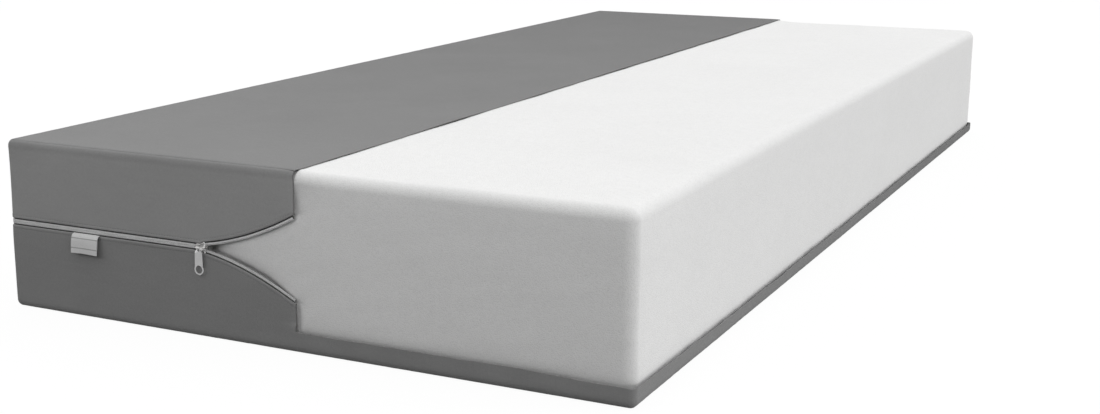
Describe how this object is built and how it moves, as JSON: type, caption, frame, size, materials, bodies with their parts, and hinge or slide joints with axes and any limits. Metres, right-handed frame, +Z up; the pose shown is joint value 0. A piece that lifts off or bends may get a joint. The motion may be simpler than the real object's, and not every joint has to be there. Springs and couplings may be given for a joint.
{
  "type": "foam mattress",
  "caption": "Rectangular foam mattress shown cut open: a one-piece foam core in a two-part knitted cover joined by a coil zip with slider, pull tab and sewn label.",
  "frame": {"origin": "centre of the underside, on the surface the mattress lies on", "axes": "+X across the mattress towards the cut-open side, +Y along it away from the face with the slider, +Z up"},
  "size_m": [0.9009, 2.0094, 0.2296],
  "materials": {
    "foam": "open-cell polyurethane foam, fine pores, matt white",
    "cover_cloth": "dense knitted polyester, matt mid grey",
    "zip_tape": "woven zip tape, dark grey",
    "zip_coil": "polyester monofilament coil, light grey, satin",
    "sewing_thread": "polyester thread, dark grey",
    "slider_metal": "die-cast zinc, nickel plated, bright",
    "pull_tab_metal": "die-cast zinc, satin light grey",
    "label_cloth": "woven satin ribbon, light grey"
  },
  "bodies": {
    "lower_cover": {"lower_cover_bottom_panel": "cover_cloth", "lower_cover_side_band": "cover_cloth", "lower_panel_seam": "sewing_thread", "lower_zip_tape": "zip_tape", "lower_zip_coil": "zip_coil", "lower_zip_stitching": "sewing_thread"},
    "core": {"foam_core": "foam"},
    "upper_cover": {"upper_cover_top_panel": "cover_cloth", "upper_cover_side_band": "cover_cloth", "upper_panel_seam": "sewing_thread", "upper_zip_tape": "zip_tape", "upper_zip_coil": "zip_coil", "upper_zip_stitching": "sewing_thread"},
    "slider": {"zip_slider_body": "slider_metal"},
    "pull_tab": {"zip_pull_tab": "pull_tab_metal"},
    "label": {"seam_label": "label_cloth"}
  },
  "joints": [
    {"name": "foam_core_lift", "type": "slide", "parent": "lower_cover", "child": "core", "axis": [0, 0, 1], "range_m": [0, 0.25]},
    {"name": "upper_cover_lift", "type": "slide", "parent": "core", "child": "upper_cover", "axis": [0, 0, 1], "range_m": [0, 0.25]},
    {"name": "slider_travel", "type": "slide", "parent": "lower_cover", "child": "slider", "axis": [1, 0, 0], "range_m": [-0.3, 0], "deforming": ["upper_zip_coil", "lower_zip_coil", "upper_zip_tape", "lower_zip_tape", "seam_label"]},
    {"name": "pull_tab_lift", "type": "hinge", "parent": "slider", "child": "pull_tab", "pos_m": [-0.134, -1.0045, 0.1184], "axis": [-1, 0, 0], "range_deg": [-4, 170]},
    {"name": "label_flip", "type": "hinge", "parent": "lower_cover", "child": "label", "pos_m": [-0.3165, -1.0009, 0.1148], "axis": [-1, 0, 0], "range_deg": [0, 105]}
  ]
}
